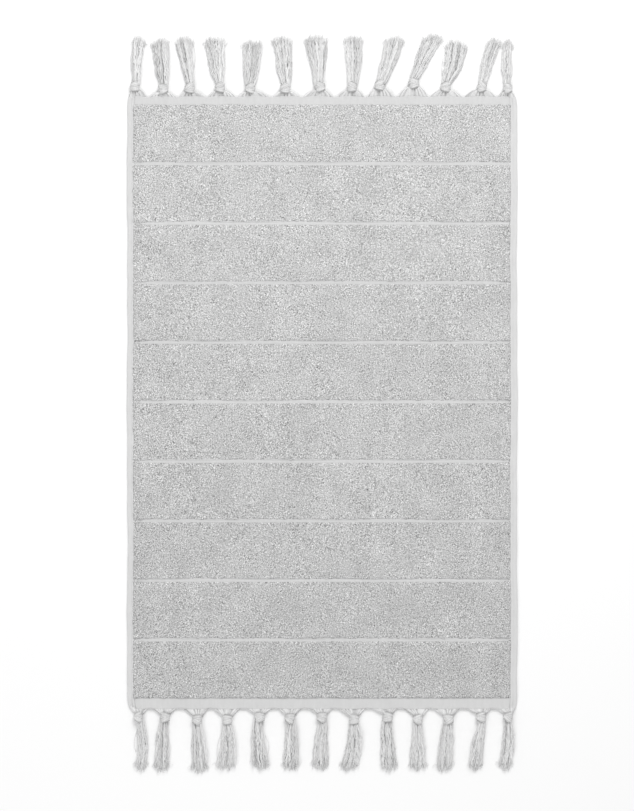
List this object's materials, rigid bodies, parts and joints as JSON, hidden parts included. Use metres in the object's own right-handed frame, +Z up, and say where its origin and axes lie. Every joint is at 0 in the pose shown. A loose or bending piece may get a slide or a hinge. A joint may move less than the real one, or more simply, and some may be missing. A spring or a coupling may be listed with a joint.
{
  "type": "bath mat",
  "caption": "Rectangular terry bath mat with flat woven bars across it, hemmed sides, flat end headers and a knotted tassel fringe at both ends.",
  "frame": {"origin": "on the floor under the middle of the mat, which lies flat with its face up", "axes": "+X across the mat, +Y along its length towards the far fringe, +Z up from the floor"},
  "size_m": [0.5, 0.939, 0.0134],
  "materials": {
    "terry_pile": "matt cotton terry loops",
    "flat_weave": "plain woven cotton",
    "fringe_yarn": "loose cotton yarn"
  },
  "bodies": {
    "panel_01": {"terry_panel_01": "terry_pile", "left_hem_01": "flat_weave", "right_hem_01": "flat_weave", "near_header": "flat_weave"},
    "panel_02": {"terry_panel_02": "terry_pile", "left_hem_02": "flat_weave", "right_hem_02": "flat_weave"},
    "panel_03": {"terry_panel_03": "terry_pile", "left_hem_03": "flat_weave", "right_hem_03": "flat_weave"},
    "panel_04": {"terry_panel_04": "terry_pile", "left_hem_04": "flat_weave", "right_hem_04": "flat_weave"},
    "panel_05": {"terry_panel_05": "terry_pile", "left_hem_05": "flat_weave", "right_hem_05": "flat_weave"},
    "panel_06": {"terry_panel_06": "terry_pile", "left_hem_06": "flat_weave", "right_hem_06": "flat_weave"},
    "panel_07": {"terry_panel_07": "terry_pile", "left_hem_07": "flat_weave", "right_hem_07": "flat_weave"},
    "panel_08": {"terry_panel_08": "terry_pile", "left_hem_08": "flat_weave", "right_hem_08": "flat_weave"},
    "panel_09": {"terry_panel_09": "terry_pile", "left_hem_09": "flat_weave", "right_hem_09": "flat_weave"},
    "panel_10": {"terry_panel_10": "terry_pile", "left_hem_10": "flat_weave", "right_hem_10": "flat_weave", "far_header": "flat_weave"},
    "far_tassel_01": {"far_tassel_01": "fringe_yarn"},
    "far_tassel_02": {"far_tassel_02": "fringe_yarn"},
    "far_tassel_03": {"far_tassel_03": "fringe_yarn"},
    "far_tassel_04": {"far_tassel_04": "fringe_yarn"},
    "far_tassel_05": {"far_tassel_05": "fringe_yarn"},
    "far_tassel_06": {"far_tassel_06": "fringe_yarn"},
    "far_tassel_07": {"far_tassel_07": "fringe_yarn"},
    "far_tassel_08": {"far_tassel_08": "fringe_yarn"},
    "far_tassel_09": {"far_tassel_09": "fringe_yarn"},
    "far_tassel_10": {"far_tassel_10": "fringe_yarn"},
    "far_tassel_11": {"far_tassel_11": "fringe_yarn"},
    "far_tassel_12": {"far_tassel_12": "fringe_yarn"},
    "far_tassel_13": {"far_tassel_13": "fringe_yarn"},
    "near_tassel_01": {"near_tassel_01": "fringe_yarn"},
    "near_tassel_02": {"near_tassel_02": "fringe_yarn"},
    "near_tassel_03": {"near_tassel_03": "fringe_yarn"},
    "near_tassel_04": {"near_tassel_04": "fringe_yarn"},
    "near_tassel_05": {"near_tassel_05": "fringe_yarn"},
    "near_tassel_06": {"near_tassel_06": "fringe_yarn"},
    "near_tassel_07": {"near_tassel_07": "fringe_yarn"},
    "near_tassel_08": {"near_tassel_08": "fringe_yarn"},
    "near_tassel_09": {"near_tassel_09": "fringe_yarn"},
    "near_tassel_10": {"near_tassel_10": "fringe_yarn"},
    "near_tassel_11": {"near_tassel_11": "fringe_yarn"},
    "near_tassel_12": {"near_tassel_12": "fringe_yarn"},
    "near_tassel_13": {"near_tassel_13": "fringe_yarn"}
  },
  "joints": [
    {"name": "fold_in_half", "type": "hinge", "parent": "panel_05", "child": "panel_06", "pos_m": [0, 0, 0.0083], "axis": [1, 0, 0], "range_deg": [0, 178]},
    {"name": "curl_bar_6", "type": "hinge", "parent": "panel_06", "child": "panel_07", "pos_m": [0, 0.07615, 0.004], "axis": [-1, 0, 0], "range_deg": [-35, 0]},
    {"name": "curl_bar_7", "type": "hinge", "parent": "panel_07", "child": "panel_08", "pos_m": [0, 0.1523, 0.004], "axis": [-1, 0, 0], "range_deg": [-35, 0]},
    {"name": "curl_bar_8", "type": "hinge", "parent": "panel_08", "child": "panel_09", "pos_m": [0, 0.22845, 0.004], "axis": [-1, 0, 0], "range_deg": [-35, 0]},
    {"name": "curl_bar_9", "type": "hinge", "parent": "panel_09", "child": "panel_10", "pos_m": [0, 0.3046, 0.004], "axis": [-1, 0, 0], "range_deg": [-35, 0]},
    {"name": "curl_bar_4", "type": "hinge", "parent": "panel_05", "child": "panel_04", "pos_m": [0, -0.07615, 0.004], "axis": [1, 0, 0], "range_deg": [-35, 0]},
    {"name": "curl_bar_3", "type": "hinge", "parent": "panel_04", "child": "panel_03", "pos_m": [0, -0.1523, 0.004], "axis": [1, 0, 0], "range_deg": [-35, 0]},
    {"name": "curl_bar_2", "type": "hinge", "parent": "panel_03", "child": "panel_02", "pos_m": [0, -0.22845, 0.004], "axis": [1, 0, 0], "range_deg": [-35, 0]},
    {"name": "curl_bar_1", "type": "hinge", "parent": "panel_02", "child": "panel_01", "pos_m": [0, -0.3046, 0.004], "axis": [1, 0, 0], "range_deg": [-35, 0]},
    {"name": "far_tassel_01_lift", "type": "hinge", "parent": "panel_10", "child": "far_tassel_01", "pos_m": [-0.23752, 0.3945, 0.0024], "axis": [-1, 0, 0], "range_deg": [-110, 0]},
    {"name": "far_tassel_02_lift", "type": "hinge", "parent": "panel_10", "child": "far_tassel_02", "pos_m": [-0.20559, 0.3945, 0.0024], "axis": [-1, 0, 0], "range_deg": [-110, 0]},
    {"name": "far_tassel_03_lift", "type": "hinge", "parent": "panel_10", "child": "far_tassel_03", "pos_m": [-0.16717, 0.3945, 0.0024], "axis": [-1, 0, 0], "range_deg": [-110, 0]},
    {"name": "far_tassel_04_lift", "type": "hinge", "parent": "panel_10", "child": "far_tassel_04", "pos_m": [-0.12924, 0.3945, 0.0024], "axis": [-1, 0, 0], "range_deg": [-110, 0]},
    {"name": "far_tassel_05_lift", "type": "hinge", "parent": "panel_10", "child": "far_tassel_05", "pos_m": [-0.08782, 0.3945, 0.0024], "axis": [-1, 0, 0], "range_deg": [-110, 0]},
    {"name": "far_tassel_06_lift", "type": "hinge", "parent": "panel_10", "child": "far_tassel_06", "pos_m": [-0.04591, 0.3945, 0.0024], "axis": [-1, 0, 0], "range_deg": [-110, 0]},
    {"name": "far_tassel_07_lift", "type": "hinge", "parent": "panel_10", "child": "far_tassel_07", "pos_m": [-0.00549, 0.3945, 0.0024], "axis": [-1, 0, 0], "range_deg": [-110, 0]},
    {"name": "far_tassel_08_lift", "type": "hinge", "parent": "panel_10", "child": "far_tassel_08", "pos_m": [0.03543, 0.3945, 0.0024], "axis": [-1, 0, 0], "range_deg": [-110, 0]},
    {"name": "far_tassel_09_lift", "type": "hinge", "parent": "panel_10", "child": "far_tassel_09", "pos_m": [0.07485, 0.3945, 0.0024], "axis": [-1, 0, 0], "range_deg": [-110, 0]},
    {"name": "far_tassel_10_lift", "type": "hinge", "parent": "panel_10", "child": "far_tassel_10", "pos_m": [0.11527, 0.3945, 0.0024], "axis": [-1, 0, 0], "range_deg": [-110, 0]},
    {"name": "far_tassel_11_lift", "type": "hinge", "parent": "panel_10", "child": "far_tassel_11", "pos_m": [0.15818, 0.3945, 0.0024], "axis": [-1, 0, 0], "range_deg": [-110, 0]},
    {"name": "far_tassel_12_lift", "type": "hinge", "parent": "panel_10", "child": "far_tassel_12", "pos_m": [0.2021, 0.3945, 0.0024], "axis": [-1, 0, 0], "range_deg": [-110, 0]},
    {"name": "far_tassel_13_lift", "type": "hinge", "parent": "panel_10", "child": "far_tassel_13", "pos_m": [0.23703, 0.3945, 0.0024], "axis": [-1, 0, 0], "range_deg": [-110, 0]},
    {"name": "near_tassel_01_lift", "type": "hinge", "parent": "panel_01", "child": "near_tassel_01", "pos_m": [-0.23645, -0.3945, 0.0024], "axis": [1, 0, 0], "range_deg": [-110, 0]},
    {"name": "near_tassel_02_lift", "type": "hinge", "parent": "panel_01", "child": "near_tassel_02", "pos_m": [-0.20231, -0.3945, 0.0024], "axis": [1, 0, 0], "range_deg": [-110, 0]},
    {"name": "near_tassel_03_lift", "type": "hinge", "parent": "panel_01", "child": "near_tassel_03", "pos_m": [-0.16215, -0.3945, 0.0024], "axis": [1, 0, 0], "range_deg": [-110, 0]},
    {"name": "near_tassel_04_lift", "type": "hinge", "parent": "panel_01", "child": "near_tassel_04", "pos_m": [-0.12199, -0.3945, 0.0024], "axis": [1, 0, 0], "range_deg": [-110, 0]},
    {"name": "near_tassel_05_lift", "type": "hinge", "parent": "panel_01", "child": "near_tassel_05", "pos_m": [-0.08032, -0.3945, 0.0024], "axis": [1, 0, 0], "range_deg": [-110, 0]},
    {"name": "near_tassel_06_lift", "type": "hinge", "parent": "panel_01", "child": "near_tassel_06", "pos_m": [-0.04066, -0.3945, 0.0024], "axis": [1, 0, 0], "range_deg": [-110, 0]},
    {"name": "near_tassel_07_lift", "type": "hinge", "parent": "panel_01", "child": "near_tassel_07", "pos_m": [-0.00301, -0.3945, 0.0024], "axis": [1, 0, 0], "range_deg": [-110, 0]},
    {"name": "near_tassel_08_lift", "type": "hinge", "parent": "panel_01", "child": "near_tassel_08", "pos_m": [0.03715, -0.3945, 0.0024], "axis": [1, 0, 0], "range_deg": [-110, 0]},
    {"name": "near_tassel_09_lift", "type": "hinge", "parent": "panel_01", "child": "near_tassel_09", "pos_m": [0.07881, -0.3945, 0.0024], "axis": [1, 0, 0], "range_deg": [-110, 0]},
    {"name": "near_tassel_10_lift", "type": "hinge", "parent": "panel_01", "child": "near_tassel_10", "pos_m": [0.11898, -0.3945, 0.0024], "axis": [1, 0, 0], "range_deg": [-110, 0]},
    {"name": "near_tassel_11_lift", "type": "hinge", "parent": "panel_01", "child": "near_tassel_11", "pos_m": [0.15914, -0.3945, 0.0024], "axis": [1, 0, 0], "range_deg": [-110, 0]},
    {"name": "near_tassel_12_lift", "type": "hinge", "parent": "panel_01", "child": "near_tassel_12", "pos_m": [0.1998, -0.3945, 0.0024], "axis": [1, 0, 0], "range_deg": [-110, 0]},
    {"name": "near_tassel_13_lift", "type": "hinge", "parent": "panel_01", "child": "near_tassel_13", "pos_m": [0.23494, -0.3945, 0.0024], "axis": [1, 0, 0], "range_deg": [-110, 0]}
  ]
}
